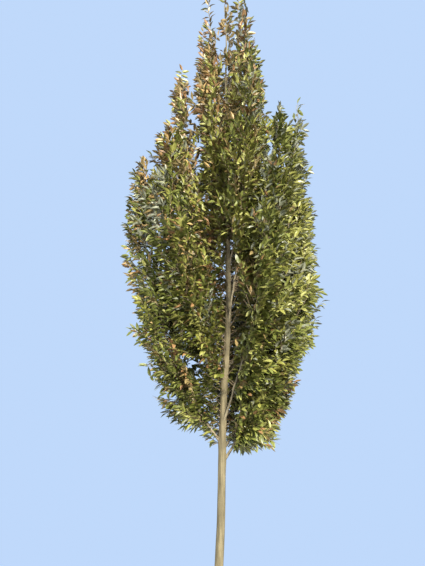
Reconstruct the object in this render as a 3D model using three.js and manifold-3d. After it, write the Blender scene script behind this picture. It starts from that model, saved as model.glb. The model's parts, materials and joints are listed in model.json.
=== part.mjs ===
// A columnar hornbeam as a nursery grows it: a clear straight stem, and a crown of long boughs that
// leave the trunk low, swing out and then climb side by side to their own leafy spires.
// Millimetres, +Z up, origin at the middle of the flat cut under the trunk. Its front is towards -Y.
import * as THREE from "three";
import { mergeVertices } from "three/addons/utils/BufferGeometryUtils.js";
import Module from "manifold-3d";

const wasm = await Module();
wasm.setup();

const GAP = 0.3; // between solids that meet
const GOLDEN_ANGLE = 137.5; // degrees from each bough, twig or leaf to the next

const TRUNK = {
  top: 6300, // the wood passes into the leader's foliage here
  radius: 31,
  vanish: 7300, // height at which the taper would come to nothing
  taperPower: 1.5,
  lean: 118, // sideways drift of the axis, gained smoothly between these heights
  leanFrom: 600,
  leanTo: 4200,
  sway: 7,
  swayLength: 1500,
  depthSway: 6,
  depthSwayLength: 1900,
  flare: 15, // extra radius at the ground
  flareHeight: 95,
  buttresses: 5,
  buttressDepth: 0.16,
  sides: 18,
  rings: 22,
  ringCrowding: 1.6, // how much closer together they stand in the flare
};

const CROWN = {
  boughs: 20,
  lowest: 2250, // the clear stem ends here
  highest: 5450, // where the last bough leaves the trunk
  crowding: 1.3, // how much closer together the low boughs stand
  firstAzimuth: 254,
  seed: 1481,
  baseJitter: 80,
  azimuthJitter: 24,
  reachJitter: 0.3,
  riseJitter: 0.28,
  curl: 30, // degrees that a bough may swing round on its way up
  lowestTurn: 102, // the lowest bough stands aside, so the stem shows in front
  wideReach: 840,
  topReach: 180,
  reachPower: 1.3,
  lowShortening: 0.42, // the lowest boughs stay shorter
  lowRange: 0.05,
  lowRise: 2300, // height from a bough's foot to its spire's tip
  highRise: 1950,
  outPower: 2.8, // how early a bough turns upright
  treeHeight: 7500,
};

const BOUGH = {
  radius: 7.2,
  highRadius: 4.2,
  tipRadius: 1.2,
  collar: 0.6, // swelling where it leaves the trunk
  collarShare: 0.03,
  lowWood: 0.05, // the bare part, as a share of its whole length, low and high in the crown
  highWood: 0.16,
  sides: 6,
  rings: 4,
};

const FOLIAGE = {
  seed: 1581,
  stemRadius: 10,
  stemTip: 6,
  stemRings: 5,
  stemCrowding: 1.4, // how much closer together its rings stand at its curved foot
  stemEnd: 0.92, // the spire's last leaf goes on from here to its tip
  lowTwigs: 16, // twigs on the lowest and on the highest spire's stem
  highTwigs: 17,
  firstTwig: 0.02, // along the stem
  lastTwig: 0.97,
  twigCrowding: 1.15, // how much closer together twigs stand at the stem's foot
  twigRadius: 4.5,
  twigTip: 3.6,
  lowTwig: 250, // longest twigs of the lowest and of the highest spire
  highTwig: 60,
  tipTwig: 30, // and of any spire's tip
  lengthJitter: 0.2,
  lowNarrowing: 0.5, // how evenly twigs shorten up the lowest and up the highest spire
  highNarrowing: 1,
  footLength: 0.55, // their length at the stem's foot, which they regain by fullShare
  fullShare: 0.25,
  inward: 0.6, // twigs on the side of the trunk are longer by up to this share
  twigAngle: 42, // from the stem to a twig, and how much wider it is at the stem's foot
  footAngle: 40,
  turnJitter: 30,
  outward: 0.3, // how much the lowest twigs turn away from the trunk and down, up to hangShare
  hang: 0.2,
  hangShare: 0.25,
  rising: 0.35, // how much a twig's end turns up along the stem
  lowLeaf: 285, // longest leaves of the lowest and of the highest spire
  highLeaf: 165,
  tipLeaf: 0.7, // size of leaves at a spire's tip
  leafWidth: 0.58, // as a share of its length
  leafWidest: 0.44,
  keel: 6, // a leaf's thickness below its edges' plane, and above it
  rim: 2,
  leafAngle: 52, // from a twig to the leaves beside it
  leafSpacing: 62, // along a twig, which has them left and right in turn
  endSpacing: 37, // from a twig's end to the first of them
  bareFoot: 20,
  sideLeaf: 0.92,
  rootDepth: 1.5, // how far a side leaf's foot lies behind its twig's axis
  roll: 75, // degrees that a twig's spray of leaves may be turned round the twig, either way
  leafRoll: 25,
  clearance: 4, // from leaves to limbs
  margin: 4, // from leaves to the next spire's space
  tries: 16, // each with another turn and a shorter twig
  tryTurn: 40,
  tryLoss: 0.055,
  tryLeafLoss: 0.25,
};

const bark = new THREE.MeshStandardMaterial({ color: 0x8d8578, roughness: 0.85, metalness: 0 });
const boughBark = new THREE.MeshStandardMaterial({ color: 0x8a8172, roughness: 0.8, metalness: 0 });
const leaves = new THREE.MeshStandardMaterial({ color: 0x5f6b26, roughness: 0.6, metalness: 0 });

const radians = THREE.MathUtils.degToRad;
const mix = THREE.MathUtils.lerp;
const UP = new THREE.Vector3(0, 0, 1);

// A repeatable run of numbers from 0 to 1.
function seeded(seed) {
  let state = (Math.imul(seed, 7919) + 17) >>> 0;
  const draw = () => {
    state = (Math.imul(state, 1664525) + 1013904223) >>> 0;
    return state / 2 ** 32;
  };
  draw();
  draw();
  return draw;
}

// A solid from a geometry's faces, without those that have shrunk to a line or a point.
function solidOf(geometry) {
  const bare = geometry.clone();
  bare.deleteAttribute("normal");
  bare.deleteAttribute("uv");
  const merged = mergeVertices(bare, 1e-3);
  const corners = merged.index.array;
  const whole = [];
  for (let i = 0; i < corners.length; i += 3) {
    const [a, b, c] = corners.slice(i, i + 3);
    if (a !== b && b !== c && c !== a) whole.push(a, b, c);
  }
  return new wasm.Manifold(
    new wasm.Mesh({
      numProp: 3,
      vertProperties: new Float32Array(merged.attributes.position.array),
      triVerts: new Uint32Array(whole),
    }),
  );
}

// The main shell of a solid, without loose scraps and sealed hollows.
function largest(solid) {
  return solid.decompose().sort((a, b) => b.volume() - a.volume())[0];
}

function meshOf(solid, name, material) {
  const { vertProperties, triVerts } = solid.getMesh();
  const geometry = new THREE.BufferGeometry();
  geometry.setAttribute("position", new THREE.BufferAttribute(vertProperties, 3));
  geometry.setIndex(new THREE.BufferAttribute(triVerts, 1));
  geometry.computeVertexNormals();
  const mesh = new THREE.Mesh(geometry, material);
  mesh.name = name;
  return mesh;
}

// A closed round rod, its place at share u and angle a given by placeAt(u, a). Pointed if asked.
function rod(sides, rings, pointed, placeAt) {
  const geometry = new THREE.CylinderGeometry(pointed ? 0 : 1, 1, 1, sides, rings);
  const position = geometry.attributes.position;
  const place = new THREE.Vector3();
  for (let i = 0; i < position.count; i++) {
    place.fromBufferAttribute(position, i);
    const u = place.y + 0.5;
    const onAxis = Math.hypot(place.x, place.z) < 1e-6;
    const angle = Math.atan2(place.x, place.z);
    placeAt(u, angle, onAxis, place);
    position.setXYZ(i, place.x, place.y, place.z);
  }
  return solidOf(geometry);
}

// The direction of an axis at one of its shares.
function directionAt(axisAt, share) {
  return axisAt(share + 1e-3).sub(axisAt(share - 1e-3)).normalize();
}

// A tapering limb from an axis's foot to its share `end`.
function limb(axisAt, radiusAt, end) {
  return rod(BOUGH.sides, BOUGH.rings, false, (u, angle, onAxis, place) => {
    const share = end * u;
    const ahead = directionAt(axisAt, share);
    const side = new THREE.Vector3().crossVectors(UP, ahead);
    if (side.lengthSq() < 1e-6) side.set(1, 0, 0);
    side.normalize();
    const other = new THREE.Vector3().crossVectors(ahead, side);
    const radius = onAxis ? 0 : radiusAt(share);
    place.copy(axisAt(share));
    place.addScaledVector(side, radius * Math.sin(angle));
    place.addScaledVector(other, -radius * Math.cos(angle));
  });
}

function trunkAxis(height) {
  const lean = THREE.MathUtils.smoothstep(height, TRUNK.leanFrom, TRUNK.leanTo);
  return new THREE.Vector3(
    TRUNK.lean * lean + TRUNK.sway * Math.sin((2 * Math.PI * height) / TRUNK.swayLength),
    TRUNK.depthSway * Math.sin((2 * Math.PI * height) / TRUNK.depthSwayLength),
    height,
  );
}

function trunkRadius(height, angle) {
  const taper = 1 - (height / TRUNK.vanish) ** TRUNK.taperPower;
  const foot = Math.exp(-height / TRUNK.flareHeight);
  const buttress = 1 + TRUNK.buttressDepth * foot * Math.cos(TRUNK.buttresses * angle);
  return (TRUNK.radius * taper + TRUNK.flare * foot) * buttress;
}

// The trunk in level slices.
function trunkSolid(grow) {
  return rod(TRUNK.sides, TRUNK.rings, false, (u, angle, onAxis, place) => {
    const height = TRUNK.top * u ** TRUNK.ringCrowding;
    const radius = onAxis ? 0 : trunkRadius(height, angle) + grow;
    const axis = trunkAxis(height);
    place.set(axis.x + radius * Math.sin(angle), axis.y - radius * Math.cos(angle), height);
  });
}

// Bough number i: where it leaves the trunk, which way, how far out and how high it goes.
function boughPlan(i) {
  const share = i / (CROWN.boughs - 1);
  const draw = seeded(CROWN.seed + i);
  const climb = share ** CROWN.crowding;
  const foot = mix(CROWN.lowest, CROWN.highest, climb) + CROWN.baseJitter * (draw() - 0.5);
  const turn = i * GOLDEN_ANGLE + (i ? 0 : CROWN.lowestTurn);
  const azimuth = CROWN.firstAzimuth + turn + CROWN.azimuthJitter * (draw() - 0.5);
  const outward = (1 - share) ** CROWN.reachPower;
  const shortening = 1 - CROWN.lowShortening * Math.exp(-share / CROWN.lowRange);
  const reach =
    mix(CROWN.topReach, CROWN.wideReach, outward) *
    shortening *
    (1 + CROWN.reachJitter * (draw() - 0.5));
  const rise =
    mix(CROWN.lowRise, CROWN.highRise, share) * (1 + CROWN.riseJitter * (draw() - 0.5));
  const curl = CROWN.curl * (draw() - 0.5);
  return { share, foot, azimuth: radians(azimuth), reach, rise, curl: radians(curl) };
}

function boughAxis(plan) {
  return (u) => {
    const place = trunkAxis(plan.foot + plan.rise * u);
    const out = plan.reach * (1 - Math.max(0, 1 - u) ** CROWN.outPower);
    const azimuth = plan.azimuth + plan.curl * u;
    place.x += out * Math.cos(azimuth);
    place.y += out * Math.sin(azimuth);
    return place;
  };
}

function boughRadius(plan) {
  const foot = mix(BOUGH.radius, BOUGH.highRadius, plan.share);
  return (u) =>
    foot * (1 - Math.min(1, u)) +
    BOUGH.tipRadius +
    foot * BOUGH.collar * Math.exp(-Math.abs(u) / BOUGH.collarShare);
}

// The axes of all spires, the leader's last. Each owns the space that is nearest to it.
const plans = Array.from({ length: CROWN.boughs }, (_, i) => boughPlan(i));
const leaderPlan = { share: 1, foot: TRUNK.top, rise: CROWN.treeHeight - TRUNK.top };
const spires = plans.map((plan) => ({ plan, axisAt: boughAxis(plan) }));
spires.push({
  plan: leaderPlan,
  axisAt: (u) => trunkAxis(leaderPlan.foot + leaderPlan.rise * u),
});
const SPACE_STEPS = 22;
for (const spire of spires) {
  spire.line = Array.from({ length: SPACE_STEPS + 1 }, (_, k) => spire.axisAt(k / SPACE_STEPS));
}

const nearest = new THREE.Vector3();
const stretch = new THREE.Line3();
function distanceTo(line, point) {
  let least = Infinity;
  for (let k = 0; k + 1 < line.length; k++) {
    stretch.set(line[k], line[k + 1]).closestPointToPoint(point, true, nearest);
    least = Math.min(least, nearest.distanceTo(point));
  }
  return least;
}

function isInSpace(own, points) {
  return points.every((point) => {
    const mine = distanceTo(spires[own].line, point) + FOLIAGE.margin;
    return spires.every((spire, k) => k === own || distanceTo(spire.line, point) > mine);
  });
}

// A three-sided ring across a twig: half its width, its keel's depth and its edges' height.
function twigRing(place, along, radius) {
  return { place, along, half: radius * Math.sin(Math.PI / 3), keel: radius, rim: radius / 2 };
}

// A blade's sideways direction and that of its upper side, for one along `along` that faces `ahead`.
function bladeFrame(along, ahead) {
  const normal = ahead.clone().addScaledVector(along, -ahead.dot(along)).normalize();
  return { normal, side: new THREE.Vector3().crossVectors(normal, along) };
}

// A rod through the given rings that widens into a leaf, flat above and keeled below. With no ring
// it is a leaf alone, from its pointed foot. Its outline holds the places that must stay in its space.
function leafyRod(rings, leafFoot, along, ahead, length) {
  const widest = leafFoot.clone().addScaledVector(along, FOLIAGE.leafWidest * length);
  const half = (length * FOLIAGE.leafWidth) / 2;
  const tip = leafFoot.clone().addScaledVector(along, length);
  const stations = [...rings];
  if (!rings.length) stations.push({ place: leafFoot, along, half: 0, keel: 0, rim: 0 });
  stations.push({ place: widest, along, half, keel: FOLIAGE.keel, rim: FOLIAGE.rim });
  for (const station of stations) Object.assign(station, bladeFrame(station.along, ahead));
  const solid = rod(3, stations.length, true, (u, angle, onAxis, place) => {
    const station = stations[Math.round(u * stations.length)];
    place.copy(station ? station.place : tip);
    if (!station || onAxis) return;
    const isKeel = Math.cos(angle) > 0.5;
    if (!isKeel) place.addScaledVector(station.side, station.half * Math.sign(Math.sin(angle)));
    place.addScaledVector(station.normal, isKeel ? -station.keel : station.rim);
  });

  const { side } = bladeFrame(along, ahead);
  const outline = [widest, tip];
  for (const sign of [-1, 1]) {
    const edge = widest.clone().addScaledVector(side, sign * half);
    outline.push(edge, edge.clone().lerp(tip, 0.5), edge.clone().lerp(leafFoot, 0.5));
  }
  if (rings.length) outline.push(rings[0].place.clone().lerp(leafFoot, 0.5));
  return { solid, outline };
}

// A direction that leaves `ahead` by `angle` degrees, turned by `turn` degrees round it.
function leaving(ahead, angle, turn) {
  const side = new THREE.Vector3().crossVectors(ahead, UP);
  if (side.lengthSq() < 1e-6) side.set(1, 0, 0);
  side.normalize().applyAxisAngle(ahead, radians(turn));
  return ahead
    .clone()
    .multiplyScalar(Math.cos(radians(angle)))
    .addScaledVector(side, Math.sin(radians(angle)))
    .normalize();
}

// A spire's stem, which goes on from its limb and ends in a leaf at the spire's tip. placeAt gives a
// place inside it, because it is straight between its rings.
function makeStem(axisAt, from, turn) {
  const end = FOLIAGE.stemEnd;
  const spans = FOLIAGE.stemRings - 1;
  const shares = [];
  const rings = [];
  for (let k = 0; k <= spans; k++) {
    const share = mix(from, end, (k / spans) ** FOLIAGE.stemCrowding);
    const radius = mix(FOLIAGE.stemRadius, FOLIAGE.stemTip, k / spans);
    shares.push(share);
    rings.push(twigRing(axisAt(share), directionAt(axisAt, share), radius));
  }
  const placeAt = (share) => {
    let k = 0;
    while (k < spans - 1 && shares[k + 1] < share) k++;
    const along = (share - shares[k]) / (shares[k + 1] - shares[k]);
    return rings[k].place.clone().lerp(rings[k + 1].place, along);
  };
  const top = axisAt(end);
  const upward = axisAt(1).sub(top);
  const length = upward.length();
  upward.normalize();
  const { solid } = leafyRod(rings, top, upward, leaving(upward, 90, turn), length);
  return { solid, placeAt };
}

function twigCount(plan) {
  return Math.round(mix(FOLIAGE.lowTwigs, FOLIAGE.highTwigs, plan.share));
}

// Twig number k of a spire at its given try, and the leaves beside it.
function makeTwig(spire, from, placeAt, k, attempt, draw) {
  const { plan, axisAt } = spire;
  const between = (least, most) => mix(least, most, draw());
  const step = ((k + between(0.3, 0.7)) / twigCount(plan)) ** FOLIAGE.twigCrowding;
  const share = mix(from, FOLIAGE.stemEnd, mix(FOLIAGE.firstTwig, FOLIAGE.lastTwig, step));
  const foot = placeAt(share);
  const ahead = directionAt(axisAt, share);
  const angle = FOLIAGE.twigAngle + FOLIAGE.footAngle * Math.max(0, 1 - 3 * share);
  const turn = k * GOLDEN_ANGLE + attempt * FOLIAGE.tryTurn + between(0, FOLIAGE.turnJitter);
  const toTrunk = trunkAxis(foot.z).sub(foot).normalize();
  const low = Math.max(0, 1 - share / FOLIAGE.hangShare) * (1 - plan.share);
  const way = leaving(ahead, angle, turn);
  way.addScaledVector(toTrunk, -FOLIAGE.outward * low).addScaledVector(UP, -FOLIAGE.hang * low);
  way.normalize();

  const narrowing = mix(FOLIAGE.lowNarrowing, FOLIAGE.highNarrowing, plan.share);
  const breadth = (1 - share) ** narrowing;
  const slack = 1 - FOLIAGE.tryLoss * attempt;
  const opened = mix(FOLIAGE.footLength, 1, Math.min(1, share / FOLIAGE.fullShare));
  const longest =
    mix(FOLIAGE.lowTwig, FOLIAGE.highTwig, plan.share) *
    opened *
    (1 + FOLIAGE.inward * way.dot(toTrunk));
  const length =
    mix(FOLIAGE.tipTwig, longest, breadth) *
    slack *
    between(1 - FOLIAGE.lengthJitter, 1 + FOLIAGE.lengthJitter);
  const leafLength =
    mix(FOLIAGE.lowLeaf, FOLIAGE.highLeaf, plan.share) *
    mix(FOLIAGE.tipLeaf, 1, breadth) *
    (1 - FOLIAGE.tryLeafLoss * (1 - slack));

  const end = foot.clone().addScaledVector(way, length);
  const rising = way.clone().addScaledVector(ahead, FOLIAGE.rising).normalize();
  const roll = radians(between(-FOLIAGE.roll, FOLIAGE.roll));
  const facing = ahead.clone().applyAxisAngle(rising, roll);
  const rings = [twigRing(foot, way, FOLIAGE.twigRadius), twigRing(end, rising, FOLIAGE.twigTip)];
  const twig = leafyRod(rings, end, rising, facing, leafLength);

  const { normal } = bladeFrame(rising, facing);
  const sideLeaves = [];
  const count = Math.floor((length - FOLIAGE.bareFoot) / FOLIAGE.leafSpacing);
  for (let j = 0; j < count; j++) {
    const hand = (j + k) % 2 ? 1 : -1;
    const aside = rising.clone().applyAxisAngle(normal, radians(hand * FOLIAGE.leafAngle));
    const tilt = radians(between(-FOLIAGE.leafRoll, FOLIAGE.leafRoll));
    const upper = normal.clone().applyAxisAngle(aside, tilt);
    const root = end.clone().addScaledVector(way, -FOLIAGE.endSpacing - j * FOLIAGE.leafSpacing);
    root.addScaledVector(aside, -FOLIAGE.rootDepth);
    sideLeaves.push(leafyRod([], root, aside, upper, leafLength * FOLIAGE.sideLeaf));
  }
  return { twig, sideLeaves };
}

// The spire's own foliage: a stem, twigs all along it, and leaves on them. What would leave the
// spire's space or touch a limb or another leaf is skipped.
function foliageSolid(index, from, limbsToClear) {
  const draw = seeded(FOLIAGE.seed + index);
  const stem = makeStem(spires[index].axisAt, from, 360 * draw());
  const grown = [stem.solid];
  const addIfFree = (piece, carrier) => {
    const others = [...limbsToClear, ...grown.filter((other) => other !== carrier)];
    const fits =
      isInSpace(index, piece.outline) &&
      others.every((other) => piece.solid.intersect(other).isEmpty());
    if (fits) grown.push(piece.solid);
    return fits;
  };
  for (let k = 0; k < twigCount(spires[index].plan); k++) {
    for (let attempt = 0; attempt < FOLIAGE.tries; attempt++) {
      const { twig, sideLeaves } = makeTwig(spires[index], from, stem.placeAt, k, attempt, draw);
      if (!addIfFree(twig, stem.solid)) continue;
      for (const leaf of sideLeaves) addIfFree(leaf, twig.solid);
      break;
    }
  }
  return largest(grown.reduce((sum, part) => sum.add(part)));
}

const hornbeam = new THREE.Group();
hornbeam.add(meshOf(trunkSolid(0), "trunk", bark));

const number = (i) => String(i + 1).padStart(2, "0");
const trunkCutter = trunkSolid(GAP);
const limbsToClear = [trunkSolid(FOLIAGE.clearance)];
const woodShare = (plan) => mix(BOUGH.lowWood, BOUGH.highWood, plan.share);
plans.forEach((plan, i) => {
  const radiusAt = boughRadius(plan);
  const wood = (grow) => limb(spires[i].axisAt, (u) => radiusAt(u) + grow, woodShare(plan));
  limbsToClear.push(wood(FOLIAGE.clearance));
  const bough = largest(wood(0).subtract(trunkCutter));
  hornbeam.add(meshOf(bough, "bough_" + number(i), boughBark));
});

plans.forEach((plan, i) => {
  const from = woodShare(plan) + GAP / plan.rise;
  hornbeam.add(meshOf(foliageSolid(i, from, limbsToClear), "foliage_" + number(i), leaves));
});
const leaderFrom = GAP / leaderPlan.rise;
const leader = foliageSolid(CROWN.boughs, leaderFrom, limbsToClear);
hornbeam.add(meshOf(leader, "foliage_leader", leaves));

export default hornbeam;
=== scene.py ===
# %% [markdown]
# # A columnar hornbeam, dressed
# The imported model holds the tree's wood and, round each bough, a coarse mass of foliage that
# reaches as far as the real one. This lesson keeps the wood's shape and the masses' reach, and
# grows on from there: bark with relief, finer shoots by the same rule, and leaves at their own size.
# Everything is in metres, with Z up and the origin in the middle of the flat cut under the trunk.

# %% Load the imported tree
import json
import math
from types import SimpleNamespace

import bpy
import numpy as np
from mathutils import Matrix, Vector, noise

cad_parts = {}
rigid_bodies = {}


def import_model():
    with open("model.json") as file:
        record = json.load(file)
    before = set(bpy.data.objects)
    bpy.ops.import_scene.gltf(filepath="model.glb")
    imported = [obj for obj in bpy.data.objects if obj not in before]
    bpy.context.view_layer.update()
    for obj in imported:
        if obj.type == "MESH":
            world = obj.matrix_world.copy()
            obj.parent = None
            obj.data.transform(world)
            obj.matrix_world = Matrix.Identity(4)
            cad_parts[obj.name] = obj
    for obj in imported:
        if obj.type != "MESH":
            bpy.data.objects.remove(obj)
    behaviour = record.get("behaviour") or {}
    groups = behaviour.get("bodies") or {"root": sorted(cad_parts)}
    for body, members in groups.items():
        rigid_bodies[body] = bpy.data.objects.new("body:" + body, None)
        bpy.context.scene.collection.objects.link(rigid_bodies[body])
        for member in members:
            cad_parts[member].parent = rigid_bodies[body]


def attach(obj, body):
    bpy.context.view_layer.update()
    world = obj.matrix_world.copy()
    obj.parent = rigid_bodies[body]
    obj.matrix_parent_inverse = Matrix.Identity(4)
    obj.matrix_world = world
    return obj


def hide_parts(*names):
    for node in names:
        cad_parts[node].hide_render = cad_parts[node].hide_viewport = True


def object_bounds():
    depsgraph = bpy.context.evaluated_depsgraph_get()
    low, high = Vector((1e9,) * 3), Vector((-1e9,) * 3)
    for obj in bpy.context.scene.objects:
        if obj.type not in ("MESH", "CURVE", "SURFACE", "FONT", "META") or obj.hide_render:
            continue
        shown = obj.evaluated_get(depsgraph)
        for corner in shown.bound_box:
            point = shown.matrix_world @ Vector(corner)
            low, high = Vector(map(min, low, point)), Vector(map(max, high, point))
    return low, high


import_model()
solid_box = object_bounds()
print("solids reach", [round(float(side), 3) for corner in solid_box for side in corner])

# %% [markdown]
# ## The camera
# The picture was taken close to the tree and steeply upwards, so the trunk narrows upwards and the
# tip leaves the picture. The camera could be set by trial, but the picture gives it: upright lines
# meet at a vanishing point, which fixes the tilt, and eye height fixes the rest. The lens follows
# from the focal length in pixels, so the picture's height is what the sensor height stands for.

# %% Set the camera
PICTURE_HEIGHT_PIXELS = 566
FOCAL_PIXELS = 573
EYE_HEIGHT = 1.6
EYE_DISTANCE = 4.0
EYE_SIDEWAYS = -0.013
LOOK_UP_DEGREES = 27
SENSOR_HEIGHT_MM = 24


def set_camera():
    """A camera at eye height in front of the tree, looking up."""
    lens = bpy.data.cameras.new("eye")
    lens.sensor_fit = "VERTICAL"
    lens.sensor_height = SENSOR_HEIGHT_MM
    lens.lens = FOCAL_PIXELS / PICTURE_HEIGHT_PIXELS * SENSOR_HEIGHT_MM
    camera = bpy.data.objects.new("eye", lens)
    camera.location = (EYE_SIDEWAYS, -EYE_DISTANCE, EYE_HEIGHT)
    camera.rotation_euler = (math.radians(90 + LOOK_UP_DEGREES), 0, 0)
    bpy.context.scene.collection.objects.link(camera)
    bpy.context.scene.camera = camera
    return camera


camera = set_camera()
print("lens", round(camera.data.lens, 2), "mm")

# %% [markdown]
# ## Floor, air and light
# In the picture an autumn sun stands to the right behind the camera, and the pale sky fills the
# shade. Panels close to the tree would light its head more than its foot and show their edges on
# the floor. Three lamps that shine evenly from far away do neither: a warm one for the sun, and
# wide ones in front and behind for the bright sky, so that no shadow among the leaves is black.

# %% Lay the floor and hang the lights
FLOOR_SIZE = 80
FLOOR_PALE = (0.38, 0.36, 0.31)
SKY_PALE = (0.50, 0.66, 0.92)
SKY_STRENGTH = 1.05
CROWN_MIDDLE = Vector((0.1, 0, 4.4))
# Each light's place, softness in degrees, strength and colour.
LIGHTS = {
    "sun": ((3.2, -10.4, 6.9), 11, 16.0, (1.0, 0.93, 0.80)),
    "shade_fill": ((-1.5, -10.0, 5.0), 60, 5.4, (0.93, 0.95, 1.0)),
    "back_fill": ((1.0, 10.0, 7.0), 60, 3.6, (1.0, 0.94, 0.82)),
}


def plain_material(name, colour, roughness, sheen=0.25):
    """A material of one colour, set on the shader's own sockets."""
    material = bpy.data.materials.new(name)
    material.use_nodes = True
    shader = material.node_tree.nodes["Principled BSDF"]
    shader.inputs["Base Color"].default_value = (*colour, 1)
    shader.inputs["Roughness"].default_value = roughness
    shader.inputs["Specular IOR Level"].default_value = sheen
    return material


def lay_floor():
    """A plain pale floor at ground level, which isn't part of the tree."""
    half = FLOOR_SIZE / 2
    mesh = bpy.data.meshes.new("floor")
    corners = [(-half, -half, 0), (half, -half, 0), (half, half, 0), (-half, half, 0)]
    mesh.from_pydata(corners, [], [(0, 1, 2, 3)])
    mesh.materials.append(plain_material("floor_pale", FLOOR_PALE, roughness=0.9, sheen=0))
    floor = bpy.data.objects.new("floor", mesh)
    bpy.context.scene.collection.objects.link(floor)


def set_sky():
    """A plain pale sky all round."""
    sky = bpy.data.worlds.new("sky")
    sky.use_nodes = True
    background = sky.node_tree.nodes["Background"]
    background.inputs["Color"].default_value = (*SKY_PALE, 1)
    background.inputs["Strength"].default_value = SKY_STRENGTH
    bpy.context.scene.world = sky


def hang_light(name, place, softness, strength, colour):
    """An even light from this place towards the crown, its source `softness` degrees wide."""
    light = bpy.data.lights.new(name, "SUN")
    light.angle = math.radians(softness)
    light.energy = strength
    light.color = colour
    lamp = bpy.data.objects.new(name, light)
    lamp.location = place
    towards = CROWN_MIDDLE - Vector(place)
    lamp.rotation_euler = towards.to_track_quat("-Z", "Y").to_euler()
    bpy.context.scene.collection.objects.link(lamp)


lay_floor()
set_sky()
for name, settings in LIGHTS.items():
    hang_light(name, *settings)
bpy.context.scene.view_settings.view_transform = "Standard"
print("lights", [light.name for light in bpy.data.lights])

# %% [markdown]
# ## The growth rule
# The solids come from a rule, not from drawn lines: the trunk's axis leans and sways a little, and
# twenty boughs leave it, each the golden angle further round, swing out and turn upright. Reading
# points off the solids would give the same lines, but a rule can be asked for any place on a limb,
# so it is written again here, with the same sizes and the same run of chance numbers. One spire on
# the right ends in two tips, so a thinner fork leaves it half way up.

# %% The trunk's line
GOLDEN_ANGLE = 137.5
TRUNK = SimpleNamespace(
    top=6.3, radius=0.031, vanish=7.3, taper_power=1.5,
    lean=0.118, lean_from=0.6, lean_to=4.2, sway=0.007, sway_length=1.5,
    depth_sway=0.006, depth_sway_length=1.9,
    flare=0.015, flare_height=0.095, buttresses=5, buttress_depth=0.16,
)


def mix(low, high, share):
    """The value that lies at this share of the way from low to high."""
    return low + (high - low) * share


def trunk_axis(height):
    """Places on the trunk's middle line at these heights."""
    height = np.asarray(height, float)
    leaning = np.clip((height - TRUNK.lean_from) / (TRUNK.lean_to - TRUNK.lean_from), 0, 1)
    lean = leaning * leaning * (3 - 2 * leaning)
    sway = np.sin(2 * np.pi * height / TRUNK.sway_length)
    depth_sway = np.sin(2 * np.pi * height / TRUNK.depth_sway_length)
    return np.stack([TRUNK.lean * lean + TRUNK.sway * sway, TRUNK.depth_sway * depth_sway, height], -1)


def trunk_radius(height, angle):
    """How far the trunk's surface lies from its middle line, angle 0 facing the viewer."""
    taper = 1 - (np.maximum(height, 0) / TRUNK.vanish) ** TRUNK.taper_power
    foot = np.exp(-height / TRUNK.flare_height)
    buttress = 1 + TRUNK.buttress_depth * foot * np.cos(TRUNK.buttresses * angle)
    return (TRUNK.radius * taper + TRUNK.flare * foot) * buttress


# %% The boughs' lines
CROWN = SimpleNamespace(
    boughs=20, lowest=2.25, highest=5.45, crowding=1.3, first_azimuth=254, seed=1481,
    base_jitter=0.08, azimuth_jitter=24, reach_jitter=0.3, rise_jitter=0.28, curl=30,
    reaches=(0.18, 0.84), reach_power=1.3, low_shortening=0.42, low_range=0.05,
    rises=(2.30, 1.95), out_power=2.8, tree_height=7.5, lowest_turn=102,
)
BOUGH = SimpleNamespace(
    radii=(0.0072, 0.0042), tip_radius=0.0012, collar=0.6, collar_share=0.03, wood=(0.05, 0.16),
)
CHANCE = SimpleNamespace(step=7919, first=17, factor=1664525, added=1013904223, range=2**32)
FORK_FROM = 0.5
FORK_SHARE = 0.65
# How far aside of its spire's tip a fork ends, by the spire's number.
FORKS = {3: 0.15}


def seeded(seed):
    """The solids' own run of chance numbers from 0 to 1."""
    state = (seed * CHANCE.step + CHANCE.first) % CHANCE.range

    def draw():
        nonlocal state
        state = (state * CHANCE.factor + CHANCE.added) % CHANCE.range
        return state / CHANCE.range

    draw()
    draw()
    return draw


def bough_plan(number):
    """Where bough number leaves the trunk, which way, how far out and how high it goes."""
    share = number / (CROWN.boughs - 1)
    draw = seeded(CROWN.seed + number)
    foot = mix(CROWN.lowest, CROWN.highest, share**CROWN.crowding) + CROWN.base_jitter * (draw() - 0.5)
    azimuth = CROWN.first_azimuth + number * GOLDEN_ANGLE + CROWN.azimuth_jitter * (draw() - 0.5)
    azimuth += CROWN.lowest_turn if number == 0 else 0
    shortening = 1 - CROWN.low_shortening * math.exp(-share / CROWN.low_range)
    reach = mix(*CROWN.reaches, (1 - share) ** CROWN.reach_power)
    reach *= shortening * (1 + CROWN.reach_jitter * (draw() - 0.5))
    rise = mix(*CROWN.rises, share) * (1 + CROWN.rise_jitter * (draw() - 0.5))
    curl = CROWN.curl * (draw() - 0.5)
    return SimpleNamespace(
        number=number, share=share, foot=foot, reach=reach, rise=rise,
        azimuth=math.radians(azimuth), curl=math.radians(curl),
        wood=mix(*BOUGH.wood, share), aside=0.0,
    )


def spire_axis(plan, share):
    """Places on a bough's middle line, from its foot at 0 to its tip at 1, where a fork is aside."""
    share = np.asarray(share, float)
    place = trunk_axis(plan.foot + plan.rise * share)
    out = plan.reach * (1 - np.maximum(0, 1 - share) ** CROWN.out_power)
    azimuth = plan.azimuth + plan.curl * share
    before_tip = np.clip((1 - share) / (1 - FORK_FROM), 0, 1)
    place[..., 0] += out * np.cos(azimuth) + plan.aside * (1 - before_tip**2)
    place[..., 1] += out * np.sin(azimuth)
    return place


def fork_of(plan, aside):
    """A thinner branch that leaves a spire part of the way up and ends beside its tip."""
    return SimpleNamespace(**{**vars(plan), "wood": FORK_FROM, "share": FORK_SHARE, "aside": aside})


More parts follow.
